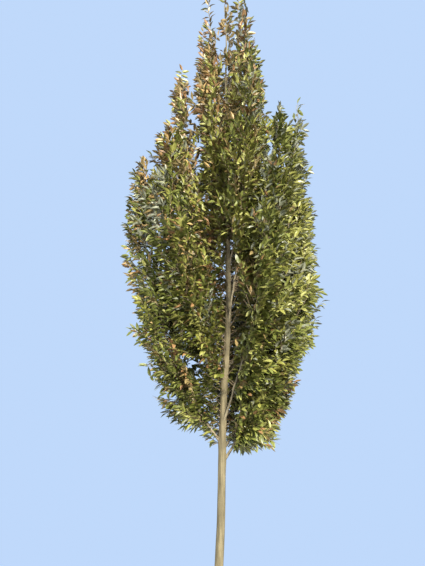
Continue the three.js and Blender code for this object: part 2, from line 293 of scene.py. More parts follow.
leader = SimpleNamespace(
    number=CROWN.boughs, share=1.0, foot=TRUNK.top, reach=0.0,
    rise=CROWN.tree_height - TRUNK.top, azimuth=0.0, curl=0.0, wood=0.0, aside=0.0,
)
spires = [bough_plan(number) for number in range(CROWN.boughs)] + [leader]
forks = [fork_of(spires[number], aside) for number, aside in FORKS.items()]
print("boughs leave the trunk at", [round(plan.foot, 2) for plan in spires[:-1]])

# %% The space of each spire
SPACE_STEPS = 22
spire_lines = np.stack([spire_axis(plan, np.linspace(0, 1, SPACE_STEPS + 1)) for plan in spires])
line_starts = spire_lines[:, :-1]
line_steps = spire_lines[:, 1:] - line_starts
line_squares = (line_steps**2).sum(-1)


def distances_to_spires(points):
    """How far each point lies from each spire's line, one row for each point."""
    offsets = points[:, None, None, :] - line_starts[None]
    along = np.clip((offsets * line_steps[None]).sum(-1) / line_squares[None], 0, 1)
    gaps = np.linalg.norm(offsets - along[..., None] * line_steps[None], axis=-1)
    return gaps.min(-1)


def keeps_to_space(number, points, margin):
    """Which points lie nearer to this spire's line than to any other, by at least margin."""
    gaps = distances_to_spires(points)
    own = gaps[:, number].copy()
    gaps[:, number] = np.inf
    return own + margin < gaps.min(1)


print("each of", len(spires), "spires owns the space that is nearest to it")

# %% [markdown]
# ## The trunk
# A hornbeam's stem is smooth and grey, with shallow flutes that run up it like muscles, fine upright
# streaks, and a swelling where each bough joins. A texture alone would look printed on. The surface
# is made as rings of points round the middle line, each pushed in or out by a few millimetres, so
# the relief is real and the outline shows it too.

# %% A closed tube from rings of points
def skin(name, rings, material):
    """A closed tube through rings of points, which turn the same way."""
    rows, sides = rings.shape[:2]
    row, side = np.meshgrid(np.arange(rows - 1), np.arange(sides), indexing="ij")
    here = row * sides + side
    beside = row * sides + (side + 1) % sides
    walls = np.stack([here, beside, beside + sides, here + sides], -1).reshape(-1, 4)
    foot = tuple(range(sides - 1, -1, -1))
    top = tuple(range((rows - 1) * sides, rows * sides))
    mesh = bpy.data.meshes.new(name)
    mesh.from_pydata(rings.reshape(-1, 3).tolist(), [], walls.tolist() + [foot, top])
    mesh.materials.append(material)
    mesh.shade_smooth()
    mesh.polygons.foreach_set("use_smooth", [True] * len(walls) + [False, False])
    return mesh


def show(name, mesh):
    """An object at the origin that holds this mesh."""
    piece = bpy.data.objects.new(name, mesh)
    bpy.context.scene.collection.objects.link(piece)
    return piece


def triangles(mesh):
    """How many triangles a mesh comes to."""
    return sum(len(face.vertices) - 2 for face in mesh.polygons)


# %% The bark's relief
TRUNK_RING_GAP = 0.015
TRUNK_SIDES = 60
FLUTE_DEPTH = 0.0012
# Two sets of flutes: how many stand round the trunk, their weight, and their turn for each metre.
FLUTES = ((TRUNK.buttresses, 1.0, 0.5), (3, 0.5, -0.8))
STREAK_DEPTH = 0.0009
STREAK_CELL = (0.012, 0.012, 0.22)
LUMP_DEPTH = 0.0014
LUMP_CELL = (0.05, 0.05, 0.16)
RELIEF_SIZES = (0.2, 1.2)
COLLAR_SWELLING = 0.004
COLLAR_WIDTH = 0.028
COLLAR_LENGTH = 0.05
HIGH_COLLAR_SIZE = 0.4
NOISE_SHIFT = (3.7, 5.3, 7.1)


def wander(places, cell, seed):
    """A smooth chance value for each place, -1 to 1, that changes over `cell` in each direction."""
    scaled = places / np.asarray(cell)
    shift = Vector([seed * step for step in NOISE_SHIFT])
    values = [noise.noise(Vector(place) + shift) for place in scaled.reshape(-1, 3)]
    return np.array(values).reshape(scaled.shape[:-1])


def bough_collars(height, angle):
    """How much the trunk swells round the feet of its boughs."""
    swelling = np.zeros(np.broadcast(height, angle).shape)
    for plan in spires[:-1]:
        around = angle - (plan.azimuth + np.pi / 2)
        around = (around + np.pi) % (2 * np.pi) - np.pi
        radius = TRUNK.radius * (1 - (plan.foot / TRUNK.vanish) ** TRUNK.taper_power)
        across = around * radius / COLLAR_WIDTH
        along = (height - plan.foot - radius) / COLLAR_LENGTH
        size = mix(1, HIGH_COLLAR_SIZE, plan.share)
        swelling += COLLAR_SWELLING * size * np.exp(-(across**2) - along**2)
    return swelling


def bark_relief(places, height, angle):
    """How far the bark stands in or out, round the trunk and along it."""
    size = np.clip(trunk_radius(height, 0) / TRUNK.radius, *RELIEF_SIZES)
    flutes = sum(weight * np.cos(count * angle + turn * height) for count, weight, turn in FLUTES)
    streaks = wander(places, STREAK_CELL, seed=1)
    lumps = wander(places, LUMP_CELL, seed=2)
    return size * (FLUTE_DEPTH * flutes + STREAK_DEPTH * streaks + LUMP_DEPTH * lumps)


print("the flutes are", FLUTE_DEPTH, "m deep, the streaks", STREAK_DEPTH, "m")

# %% The trunk's rings
def trunk_rings():
    """The trunk's surface from the cut at the ground to its top, level ring by level ring."""
    height = np.linspace(0, TRUNK.top, round(TRUNK.top / TRUNK_RING_GAP) + 1)[:, None]
    angle = np.linspace(0, 2 * np.pi, TRUNK_SIDES, endpoint=False)[None, :]
    axis = trunk_axis(height)
    radius = trunk_radius(height, angle)
    facing = np.stack([np.sin(angle), -np.cos(angle), 0 * angle], -1)
    bare = axis + radius[..., None] * facing
    radius = radius + bark_relief(bare, height, angle) + bough_collars(height, angle)
    return axis + radius[..., None] * facing


print("the trunk is", round(2 * float(trunk_radius(2, 0)), 3), "m thick at 2 m, without its relief")

# %% [markdown]
# ## The bark's colour
# Grey with a hint of olive, paler in upright streaks and darker in the grooves. An image would need
# pixels from somewhere; instead two noises on the object's own coordinates colour it, one of them
# stretched upwards. A fine bump adds what the rings can't hold.

# %% Bark materials
# From dark to pale.
TRUNK_SHADES = ((0.032, 0.026, 0.015), (0.064, 0.054, 0.030), (0.114, 0.096, 0.055))
BOUGH_SHADES = ((0.040, 0.033, 0.020), (0.095, 0.080, 0.050), (0.155, 0.134, 0.090))
TWIG_BROWN = (0.125, 0.094, 0.058)
SHADE_STOPS = (0.48, 0.64, 0.86)
STREAK_STRETCH = (1, 1, 0.08)
FLECK_WEIGHT = 0.35


def add_node(tree, kind, **settings):
    """A new node with these values on its inputs, named with _ for a blank."""
    node = tree.nodes.new(kind)
    for name, value in settings.items():
        node.inputs[name.replace("_", " ")].default_value = value
    return node


def bark_material(name, shades, streak_scale, fleck_scale, bump_depth):
    """Streaked bark in three shades, on the object's own coordinates."""
    material = plain_material(name, shades[1], roughness=0.85)
    tree = material.node_tree
    shader = tree.nodes["Principled BSDF"]
    place = add_node(tree, "ShaderNodeTexCoord")
    stretch = add_node(tree, "ShaderNodeMapping", Scale=STREAK_STRETCH)
    streaks = add_node(tree, "ShaderNodeTexNoise", Scale=streak_scale, Detail=6, Roughness=0.62)
    flecks = add_node(tree, "ShaderNodeTexNoise", Scale=fleck_scale, Detail=4)
    bump = add_node(tree, "ShaderNodeBump", Strength=0.6, Distance=bump_depth)
    blend = add_node(tree, "ShaderNodeMath")
    blend.operation = "MULTIPLY_ADD"
    blend.inputs[1].default_value = FLECK_WEIGHT
    ramp = add_node(tree, "ShaderNodeValToRGB")
    ramp.color_ramp.elements.new(SHADE_STOPS[1])
    for stop, place_on_ramp, shade in zip(ramp.color_ramp.elements, SHADE_STOPS, shades):
        stop.position = place_on_ramp
        stop.color = (*shade, 1)
    link = tree.links.new
    link(place.outputs["Object"], stretch.inputs["Vector"])
    link(stretch.outputs["Vector"], streaks.inputs["Vector"])
    link(place.outputs["Object"], flecks.inputs["Vector"])
    link(flecks.outputs["Fac"], blend.inputs[0])
    link(streaks.outputs["Fac"], blend.inputs[2])
    link(blend.outputs["Value"], ramp.inputs["Fac"])
    link(ramp.outputs["Color"], shader.inputs["Base Color"])
    link(streaks.outputs["Fac"], bump.inputs["Height"])
    link(bump.outputs["Normal"], shader.inputs["Normal"])
    return material


trunk_bark = bark_material(
    "trunk_bark", TRUNK_SHADES, streak_scale=60, fleck_scale=9, bump_depth=0.0015
)
bough_bark = bark_material(
    "bough_bark", BOUGH_SHADES, streak_scale=90, fleck_scale=14, bump_depth=0.0008
)
twig_bark = plain_material("twig_bark", TWIG_BROWN, roughness=0.7)
print("materials", trunk_bark.name, bough_bark.name, twig_bark.name)

# %% Make the trunk
trunk_piece = show("trunk_with_bark", skin("trunk_with_bark", trunk_rings(), trunk_bark))
print("trunk", triangles(trunk_piece.data), "triangles")

# %% [markdown]
# ## The boughs
# Each bough is one limb from inside the trunk to its spire's tip: a collar, bare wood, and then a
# stem that thins among its leaves. Curves with a bevel would make tubes too, but not the slight
# crook at each node where a shoot left it. So each bough is a tube of rings round its line, with
# the crook added to the line itself: shoots that start from that line later on sit right inside it.

# %% Make the boughs
BOUGH_RING_GAP = 0.022
BOUGH_SIDES = 9
CROOK = 0.006
CROOK_SEED = 4100
CROOK_WAVES = {0.31: 1.0, 0.17: 0.6, 0.09: 0.35}
CROOK_WAYS = (1, 1, 0.2)
CROOK_FROM = 0.05
CROOK_FADE = 0.3
BOUGH_RELIEF = 0.0006
BOUGH_STREAK_CELL = (0.012, 0.012, 0.05)
BOUGH_FULL_RELIEF_RADIUS = 0.006
BOUGH_THIN_RELIEF = 0.2
LEADER_START = -0.01
LIMB_END = 0.995
LIMB_STEP = 1e-3
ACROSS_THE_LIMBS = (0.31, 0.95, 0.0)


def crook(plan, share):
    """Small sideways offsets of a bough's line, none at its foot."""
    chance = np.random.default_rng(CROOK_SEED + plan.number)
    run = np.asarray(share, float)[..., None] * plan.rise
    offset = np.zeros(run.shape[:-1] + (3,))
    for length, size in CROOK_WAVES.items():
        phases = chance.uniform(0, 2 * np.pi, 3)
        offset += size * np.sin(2 * np.pi * run / length + phases) * CROOK_WAYS
    fade = np.clip((run - CROOK_FROM) / CROOK_FADE, 0, 1)
    return CROOK * fade * offset


def limb_line(plan, share):
    """The bough's line with its crook."""
    return spire_axis(plan, share) + crook(plan, share)


def limb_radius(plan, share):
    """A bough's thickness: a collar at its foot, then an even taper to the tip."""
    if plan is leader:
        return mix(trunk_radius(TRUNK.top, 0), BOUGH.tip_radius, share)
    foot = mix(*BOUGH.radii, plan.share)
    collar = foot * BOUGH.collar * np.exp(-np.abs(share) / BOUGH.collar_share)
    return foot * (1 - np.minimum(1, share)) + BOUGH.tip_radius + collar


def unit(vectors):
    """The same directions with length 1."""
    return vectors / np.linalg.norm(vectors, axis=-1, keepdims=True)


def limb_rings(plan, start):
    """Rings square to the bough's line from a share of its length on, with a little relief."""
    count = round(plan.rise * (1 - max(start, 0)) / BOUGH_RING_GAP)
    share = np.linspace(start, LIMB_END, count)
    line = limb_line(plan, share)[:, None]
    ahead = unit(limb_line(plan, share + LIMB_STEP) - limb_line(plan, share - LIMB_STEP))
    side = unit(np.cross(ACROSS_THE_LIMBS, ahead))
    other = np.cross(ahead, side)
    angle = np.linspace(0, 2 * np.pi, BOUGH_SIDES, endpoint=False)[None, :, None]
    facing = side[:, None] * np.sin(angle) - other[:, None] * np.cos(angle)
    radius = limb_radius(plan, share)[:, None] * np.ones(BOUGH_SIDES)
    thin = np.clip(radius / BOUGH_FULL_RELIEF_RADIUS, BOUGH_THIN_RELIEF, 1)
    bare = line + radius[..., None] * facing
    relief = BOUGH_RELIEF * wander(bare, BOUGH_STREAK_CELL, seed=3) * thin
    return line + (radius + relief)[..., None] * facing


def joined(name, meshes):
    """Several meshes as one, their parts not welded."""
    pieces = [show(mesh.name, mesh) for mesh in meshes]
    with bpy.context.temp_override(active_object=pieces[0], selected_editable_objects=pieces):
        bpy.ops.object.join()
    pieces[0].name = name
    pieces[0].data.name = name
    return pieces[0]


starts = [0] * CROWN.boughs + [LEADER_START] + [FORK_FROM] * len(forks)
limb_meshes = [
    skin(f"limb_{number:02d}", limb_rings(plan, start), bough_bark)
    for number, (plan, start) in enumerate(zip(spires + forks, starts))
]
bough_piece = joined("boughs_with_bark", limb_meshes)
print("boughs", triangles(bough_piece.data), "triangles")

# %% [markdown]
# ## The shoots
# Round each bough's leafy part stand shoots, by the rule of the solids: each the golden angle
# further round, wide at the foot and close at the tip, longest where the crown is widest, and
# turning up at its end. The rule is carried one step further here. There are more shoots, they
# bend, and each carries side shoots left and right, which are what one coarse leaf stood for.
# A shoot that would leave its spire's space is tried again, turned and shorter, as in the rule, but
# low in the crown it may reach a little way into a neighbour's, so that no seam of sky is left.

# %% The rule's sizes, and directions
# Sizes in brackets go from the lowest bough to the highest, and jitters from least to most.
FOLIAGE = SimpleNamespace(
    seed=1581, fork_seed=50, stem_end=0.92, shoots=(185, 95), last_twig=0.97, crowding=1.35,
    step_jitter=(0.3, 0.7), twigs=(0.25, 0.05), tip_twig=0.01, length_jitter=0.25, inward=0.6,
    narrowing=(0.55, 1.0), angle=42, foot_angle=40, foot_angle_fade=3, turn_jitter=30,
    rising=(0.4, 0.9), full_rising=3.6, outward=0.30, hang=0.20, hang_share=0.25,
    foot_length=0.55, full_share=0.25, sprays=(0.22, 0.09), tip_spray=0.28, roll=75,
    side_spacing=(0.045, 0.080), side_step_jitter=(0.2, 0.8), side_angle=42,
    side_angle_jitter=(0.75, 1.1), side_size=0.75, side_size_jitter=(0.6, 1.05),
    side_climb=0.5, side_roll=35, tries=16, try_turn=40, try_loss=0.055, stem_leaves=(0.67, 0.40),
)
UP = np.array([0.0, 0.0, 1.0])


def turned(vector, axis, degrees):
    """A direction turned round another by some degrees."""
    angle = math.radians(degrees)
    across = np.cross(axis, vector)
    lengthwise = axis * np.dot(axis, vector)
    return vector * math.cos(angle) + across * math.sin(angle) + lengthwise * (1 - math.cos(angle))


def leaving(ahead, angle, turn):
    """A direction that leaves `ahead` by `angle` degrees, turned by `turn` degrees round it."""
    side = np.cross(ahead, UP)
    if np.dot(side, side) < 1e-6:
        side = np.array([1.0, 0.0, 0.0])
    side = turned(unit(side), ahead, turn)
    return unit(ahead * math.cos(math.radians(angle)) + side * math.sin(math.radians(angle)))


def bent_line(foot, bend, tip, count):
    """Places on a smooth bend from foot to tip that leaves foot towards `bend`."""
    share = np.linspace(0, 1, count)[:, None]
    return (1 - share) ** 2 * foot + 2 * share * (1 - share) * bend + share**2 * tip


print("the lowest and the highest bough are tried for", FOLIAGE.shoots, "shoots")

# %% [markdown]
# ## Clumps, gaps and a parting
# Shoots as even as the rule gives them would look clipped. On the tree some stand thick, some are
# missing, a few run far ahead of the rest, and the tips are thin. Nobody could set thousands of
# shoots by hand. A smooth noise in space says how thick the foliage stands at each place: shoots
# are longer in its clumps and left out in its gaps. At the crown's foot they keep inside a cone
# that narrows down to the trunk. In front of the trunk the foliage parts, more at some heights than
# at others, and a narrower slit lets the sun fall on the bark.

# %% Where the foliage is thick, and where it parts
CLUMP_CELL = 0.19
CLUMP_CONTRAST = 1.8
CLUMP_AHEAD = 0.1
CLUMP_GAPS = 0.9
CLOSED_LOW = 0.2
CLOSED_BELOW = 2.9
THIN_FROM = 5.8
THIN_RANGE = 0.7
THINNEST = 0.88
LONG_SHOOT_SHARE = 0.06
LONG_SHOOT = 1.45
TRUNK_CLEARANCE = 0.006
# Half the width of each parting, by how many degrees right of the viewer it faces.
PARTING_HALF_WIDTHS = {0: 0.042, 17: 0.014}
PARTING_TOP = 4.15
PARTING_FADE = 0.35
PARTING_WIDEST = 3.5
PARTING_WAVE = 1.1
PARTING_WAVE_SIZE = 0.4
FOOT_HEIGHTS = (2.3, 2.85, 3.3)
FOOT_REACHES = (0.36, 0.56, 0.95)


def clump(place):
    """How thick the foliage stands round a place, from -1 in a gap to 1 in a clump."""
    return max(-1.0, min(1.0, CLUMP_CONTRAST * noise.noise(Vector(place) / CLUMP_CELL)))


def clear_of_trunk(points):
    """Which points stay off the trunk and out of the partings towards the viewer and the sun."""
    offset = points - trunk_axis(points[:, 2])
    gap = np.linalg.norm(offset, axis=-1)
    clear = (gap > trunk_radius(points[:, 2], 0) + TRUNK_CLEARANCE) | (points[:, 2] > TRUNK.top)
    wave = np.cos(2 * np.pi * (points[:, 2] - PARTING_WIDEST) / PARTING_WAVE)
    wave = 1 - PARTING_WAVE_SIZE + PARTING_WAVE_SIZE * wave
    for turn, half_width in PARTING_HALF_WIDTHS.items():
        opening = np.clip((PARTING_TOP - points[:, 2]) / PARTING_FADE, 0, 1)
        opening = opening if turn else opening * wave
        side, depth = math.cos(math.radians(turn)), math.sin(math.radians(turn))
        aside = np.abs(offset[:, 0] * side + offset[:, 1] * depth)
        before = offset[:, 0] * depth - offset[:, 1] * side
        clear &= (aside > half_width * opening) | (before < 0)
    return clear


def within_foot(points):
    """Which points keep inside the crown's foot, which narrows down to the trunk like a cone."""
    reach = np.linalg.norm((points - trunk_axis(points[:, 2]))[:, :2], axis=-1)
    return reach < np.interp(points[:, 2], FOOT_HEIGHTS, FOOT_REACHES)


print("thickness in the crown's middle, from -1 to 1:", round(clump(CROWN_MIDDLE), 2))

# %% One lateral shoot
LATERAL_POINTS = 6
LATERAL_THICKNESS = (0.0030, 0.0010)


def lateral_shoot(plan, step, number, attempt, chance):
    """Shoot `number` of a spire at its given try: its line and the way its sprays face."""
    share = mix(plan.wood, FOLIAGE.stem_end, FOLIAGE.last_twig * step)
    foot = limb_line(plan, share)
    ahead = unit(spire_axis(plan, share + LIMB_STEP) - spire_axis(plan, share - LIMB_STEP))
    angle = FOLIAGE.angle + FOLIAGE.foot_angle * max(0, 1 - FOLIAGE.foot_angle_fade * share)
    turn = number * GOLDEN_ANGLE + attempt * FOLIAGE.try_turn + chance.uniform(0, FOLIAGE.turn_jitter)
    breadth = (1 - share) ** mix(*FOLIAGE.narrowing, plan.share)
    slack = 1 - FOLIAGE.try_loss * attempt
    to_trunk = unit(trunk_axis(foot[2]) - foot + 1e-9)
    low = max(0, 1 - share / FOLIAGE.hang_share) * (1 - plan.share)
    hanging = FOLIAGE.outward * to_trunk + FOLIAGE.hang * UP
    way = leaving(ahead, angle, turn)
    inner = max(0, np.dot(way, to_trunk))
    way = unit(way - low * (1 - min(1, 2 * inner)) * hanging)
    longest = mix(*FOLIAGE.twigs, plan.share)
    longest *= 1 + FOLIAGE.inward * np.dot(way, to_trunk)
    longest *= mix(FOLIAGE.foot_length, 1, min(1, share / FOLIAGE.full_share + inner))
    length = mix(FOLIAGE.tip_twig, longest, breadth) * slack
    length *= chance.uniform(1 - FOLIAGE.length_jitter, 1 + FOLIAGE.length_jitter)
    length *= 1 + clump(foot + CLUMP_AHEAD * way)
    length *= LONG_SHOOT if chance.random() < LONG_SHOOT_SHARE else 1
    spray = mix(*FOLIAGE.sprays, plan.share) * mix(FOLIAGE.tip_spray, 1, breadth)
    end = foot + way * length
    climb = np.interp(foot[2], (CROWN.lowest, FOLIAGE.full_rising), FOLIAGE.rising)
    rising = unit(way + climb * ahead)
    facing = turned(ahead, rising, chance.uniform(-FOLIAGE.roll, FOLIAGE.roll))
    line = bent_line(foot, end, end + rising * spray, LATERAL_POINTS)
    normal = unit(facing - rising * np.dot(facing, rising))
    return SimpleNamespace(
        plan=plan, line=line, normal=normal, spray=spray, length=length + spray,
        thickness=LATERAL_THICKNESS, order=1,
    )


print("a lateral shoot bends through", LATERAL_POINTS, "points")

# %% Its side shoots
SIDE_POINTS = 3
SIDE_THICKNESS = (0.0016, 0.0007)
SIDE_TAPER = 0.45
BARE_SHARE = 0.12


def side_shoots(lateral, hand, chance):
    """The shoots left and right of a lateral shoot, shorter towards its tip."""
    shoots = []
    spacing = mix(*FOLIAGE.side_spacing, lateral.plan.share)
    count = int((lateral.length - BARE_SHARE * lateral.length) / spacing)
    for number in range(count):
        step = number + chance.uniform(*FOLIAGE.side_step_jitter)
        share = BARE_SHARE + (1 - BARE_SHARE) * step / count
        place = share * (LATERAL_POINTS - 1)
        before = min(int(place), LATERAL_POINTS - 2)
        span = lateral.line[before + 1] - lateral.line[before]
        root = lateral.line[before] + span * (place - before)
        ahead = unit(span)
        hand = -hand
        angle = hand * chance.uniform(*FOLIAGE.side_angle_jitter) * FOLIAGE.side_angle
        aside = turned(ahead, lateral.normal, angle)
        length = lateral.spray * FOLIAGE.side_size * mix(1, SIDE_TAPER, share)
        length *= chance.uniform(*FOLIAGE.side_size_jitter)
        bend = root + aside * length / 2
        tip = bend + unit(aside + FOLIAGE.side_climb * ahead) * length / 2
        normal = turned(lateral.normal, aside, chance.uniform(-FOLIAGE.side_roll, FOLIAGE.side_roll))
        shoots.append(SimpleNamespace(
            plan=lateral.plan, line=bent_line(root, bend, tip, SIDE_POINTS), normal=normal,
            thickness=SIDE_THICKNESS, order=2,
        ))
    return shoots


print("side shoots stand", *FOLIAGE.side_spacing, "m apart on the lowest and the highest bough")

# %% Grow the shoots of one spire
# How far a shoot may reach into a neighbour's space at two heights.
OVERLAP_HEIGHTS = (4.3, 5.4)
OVERLAPS = (0.10, -0.03)


def fits(plan, line):
    """True if a shoot keeps off the trunk, and its outer part in its spire's space and the crown."""
    outer = line[len(line) // 2:]
    overlap = np.interp(outer[:, 2], OVERLAP_HEIGHTS, OVERLAPS)
    in_space = keeps_to_space(plan.number, outer, -overlap) & within_foot(outer)
    return bool(in_space.all() and clear_of_trunk(line[1:]).all())


def grow_spire(plan):
    """All shoots of one spire, each lateral followed by its side shoots."""
    forked = bool(plan.aside)
    chance = np.random.default_rng(FOLIAGE.seed + plan.number + FOLIAGE.fork_seed * forked)
    count = mix(*FOLIAGE.shoots, plan.share)
    count = round(count * (1 - FORK_FROM * forked))
    sprays = []
    for number in range(count):
        step = ((number + chance.uniform(*FOLIAGE.step_jitter)) / count) ** FOLIAGE.crowding
        for attempt in range(FOLIAGE.tries):
            lateral = lateral_shoot(plan, step, number, attempt, chance)
            foot = lateral.line[0]
            thinned = THINNEST * min(1, max(0, (foot[2] - THIN_FROM) / THIN_RANGE))
            closed = min(1, max(CLOSED_LOW, (foot[2] - CLOSED_BELOW) / THIN_RANGE))
            if chance.random() < max(thinned, -CLUMP_GAPS * closed * clump(foot)):
                break
            if fits(plan, lateral.line):
                sides = side_shoots(lateral, 1 if number % 2 else -1, chance)
                sprays.append([lateral] + [side for side in sides if fits(plan, side.line)])
                break
    leafy_from = mix(*FOLIAGE.stem_leaves, plan.share)
    tip = limb_line(plan, np.linspace(leafy_from, 1, 2 * LATERAL_POINTS))
    sprays.append([SimpleNamespace(
        plan=plan, line=tip, normal=leaving(UP, 90, 360 * chance.random()),
        thickness=SIDE_THICKNESS, order=1,
    )])
    return sprays


print("a shoot that doesn't fit is tried up to", FOLIAGE.tries, "times")

# %% [markdown]
# ## The trunk's own shoots
# Between its boughs a hornbeam's trunk bears short leafy shoots as well, and they close the crown's
# middle. The boughs' shoots could be made longer inwards instead, but then they would cross each
# other. So the trunk gets a row of its own, each the golden angle further round than the last.

# %% Grow the trunk's shoots
TRUNK_SHOOTS = 250
TRUNK_SHOOT_HEIGHTS = (2.38, 5.15)
TRUNK_SHOOT_LENGTHS = (0.14, 0.34)
TRUNK_SHOOTS_LONGER_HIGH = 0.3
TRUNK_SHOOT_CLIMB = 0.5
TRUNK_SPRAY = 0.13


def trunk_shoot(number, chance):
    """A short leafy shoot that leaves the trunk itself, between the boughs."""
    share = (number + chance.random()) / TRUNK_SHOOTS
    height = mix(*TRUNK_SHOOT_HEIGHTS, share)
    azimuth = math.radians(number * GOLDEN_ANGLE + chance.uniform(0, FOLIAGE.turn_jitter))
    outward = np.array([math.cos(azimuth), math.sin(azimuth), 0.0])
    foot = trunk_axis(height) + trunk_radius(height, 0) / 2 * outward
    length = chance.uniform(*TRUNK_SHOOT_LENGTHS) * (1 + TRUNK_SHOOTS_LONGER_HIGH * share)
    bend = foot + length / 2 * unit(outward + TRUNK_SHOOT_CLIMB * UP)
    tip = bend + length / 2 * unit(outward + 2 * TRUNK_SHOOT_CLIMB * UP)
    plan = spires[distances_to_spires(bend[None])[0].argmin()]
    return SimpleNamespace(
        plan=plan, line=bent_line(foot, bend, tip, LATERAL_POINTS), normal=leaving(outward, 90, 90),
        spray=TRUNK_SPRAY, length=length, thickness=LATERAL_THICKNESS, order=1,
    )


def grow_on_trunk():
    """The trunk's own short shoots, each with its side shoots."""
    chance = np.random.default_rng(FOLIAGE.seed - 1)
    sprays = []
    for number in range(TRUNK_SHOOTS):
        lateral = trunk_shoot(number, chance)
        if clear_of_trunk(lateral.line[2:]).all():
            sides = side_shoots(lateral, 1 if number % 2 else -1, chance)
            sprays.append([lateral] + [side for side in sides if clear_of_trunk(side.line).all()])
    return sprays


sprays = [spray for plan in spires for spray in grow_spire(plan)] + grow_on_trunk()
sprays += [spray for plan in forks for spray in grow_spire(plan)]
shoots = [shoot for spray in sprays for shoot in spray]
print(len(sprays), "sprays with", len(shoots), "shoots")

# %% [markdown]
# ## Twigs from lines
# A few thousand thin shoots are too many to model one by one. Geometry Nodes turn all their lines
# into tubes at once: the lines become curves, and a small circle follows each, scaled by the
# thickness that every point carries. Nothing in it is random, and the result is one plain mesh.

# %% Helpers for node trees
def node_tree(name, inputs):
    """A geometry node tree with these named inputs, its input and output nodes, and identifiers."""
    tree = bpy.data.node_groups.new(name, "GeometryNodeTree")
    tree.interface.new_socket("Geometry", in_out="INPUT", socket_type="NodeSocketGeometry")
    tree.interface.new_socket("Geometry", in_out="OUTPUT", socket_type="NodeSocketGeometry")
    keys = {}
    for label, kind in inputs.items():
        keys[label] = tree.interface.new_socket(label, in_out="INPUT", socket_type=kind).identifier
    return tree, tree.nodes.new("NodeGroupInput"), tree.nodes.new("NodeGroupOutput"), keys


def named_attribute(tree, name, kind):
    """What a node reads from an attribute of the points."""
    reader = tree.nodes.new("GeometryNodeInputNamedAttribute")
    reader.data_type = kind
    reader.inputs["Name"].default_value = name
    return reader.outputs["Attribute"]


def end_tree(tree, shapes, material, made):
    """Ends a tree: its shapes become plain mesh of one material."""
    realize = add_node(tree, "GeometryNodeRealizeInstances")
    paint = add_node(tree, "GeometryNodeSetMaterial")
    tree.links.new(shapes, realize.inputs["Geometry"])
    tree.links.new(realize.outputs["Geometry"], paint.inputs["Geometry"])
    tree.links.new(material, paint.inputs["Material"])
    tree.links.new(paint.outputs["Geometry"], made.inputs["Geometry"])


def grown(name, mesh, tree, keys, settings, spent):
    """The plain mesh that a tree makes of a mesh, without the attributes that it has used up."""
    piece = show(name, mesh)
    modifier = piece.modifiers.new("grow", "NODES")
    modifier.node_group = tree
    for label, value in settings.items():
        modifier[keys[label]] = value
    depsgraph = bpy.context.evaluated_depsgraph_get()
    result = bpy.data.meshes.new_from_object(piece.evaluated_get(depsgraph), depsgraph=depsgraph)
    piece.modifiers.clear()
    piece.data = result
    result.name = name
    for attribute in spent:
        if attribute in result.attributes:
            result.attributes.remove(result.attributes[attribute])
    return piece


def points_mesh(name, points, edges, attributes):
    """A mesh of points and edges that carries values on its points."""
    mesh = bpy.data.meshes.new(name)
    mesh.from_pydata(points.tolist(), edges.tolist(), [])
    for label, values in attributes.items():
        kind, field = ("FLOAT", "value") if values.ndim == 1 else ("FLOAT_VECTOR", "vector")
        layer = mesh.attributes.new(label, kind, "POINT")
        layer.data.foreach_set(field, values.astype(np.float32).ravel())
    return mesh


# %% The tree that thickens lines
def twig_tree():
    """Lines to tubes: a circle of a few sides follows each line, as thick as its points say."""
    tree, given, made, keys = node_tree(
        "twigs_from_lines", {"Sides": "NodeSocketInt", "Bark": "NodeSocketMaterial"}
    )
    curves = add_node(tree, "GeometryNodeMeshToCurve")
    circle = add_node(tree, "GeometryNodeCurvePrimitiveCircle", Radius=1)
    tube = add_node(tree, "GeometryNodeCurveToMesh", Fill_Caps=True)
    link = tree.links.new
    link(given.outputs["Geometry"], curves.inputs["Mesh"])
    link(given.outputs["Sides"], circle.inputs["Resolution"])
    link(curves.outputs["Curve"], tube.inputs["Curve"])
    link(circle.outputs["Curve"], tube.inputs["Profile Curve"])
    link(named_attribute(tree, "thickness", "FLOAT"), tube.inputs["Scale"])
    end_tree(tree, tube.outputs["Mesh"], given.outputs["Bark"], made)
    return tree, keys


def twig_lines(name, chosen):
    """The lines of some shoots as one mesh of edges, with their thickness."""
    points = np.concatenate([shoot.line for shoot in chosen])
    counts = [len(shoot.line) for shoot in chosen]
    ends = np.cumsum(counts)
    steps = np.arange(len(points) - 1)
    steps = steps[~np.isin(steps + 1, ends)]
    edges = np.stack([steps, steps + 1], -1)
    thickness = [np.linspace(*shoot.thickness, len(shoot.line)) for shoot in chosen]
    return points_mesh(name, points, edges, {"thickness": np.concatenate(thickness)})


# %% Thicken the twigs
TWIG_SIDES = 3
LOWER_SPIRES = 8
TWIG_PIECES = {
    "twigs_lower": range(LOWER_SPIRES),
    "twigs_upper": range(LOWER_SPIRES, len(spires)),
}
lines_to_twigs, twig_keys = twig_tree()
twig_pieces = []
for name, numbers in TWIG_PIECES.items():
    chosen = [shoot for shoot in shoots if shoot.plan.number in numbers]
    settings = {"Sides": TWIG_SIDES, "Bark": twig_bark}
    piece = grown(name, twig_lines(name, chosen), lines_to_twigs, twig_keys, settings, ["thickness"])
    twig_pieces.append(piece)
    print(name, triangles(piece.data), "triangles")

# %% [markdown]
# ## The leaves' places
# Hornbeam leaves stand left and right in turn along a shoot, at wide angles, and hold their upper
# side to the light, so up and a little outwards. A particle system would scatter them anywhere.
# Here each leaf has its place on its shoot, worked out for all leaves of a shoot at once, and the
# few that would hide the trunk in the parting, or stick out past the solids, are left out.

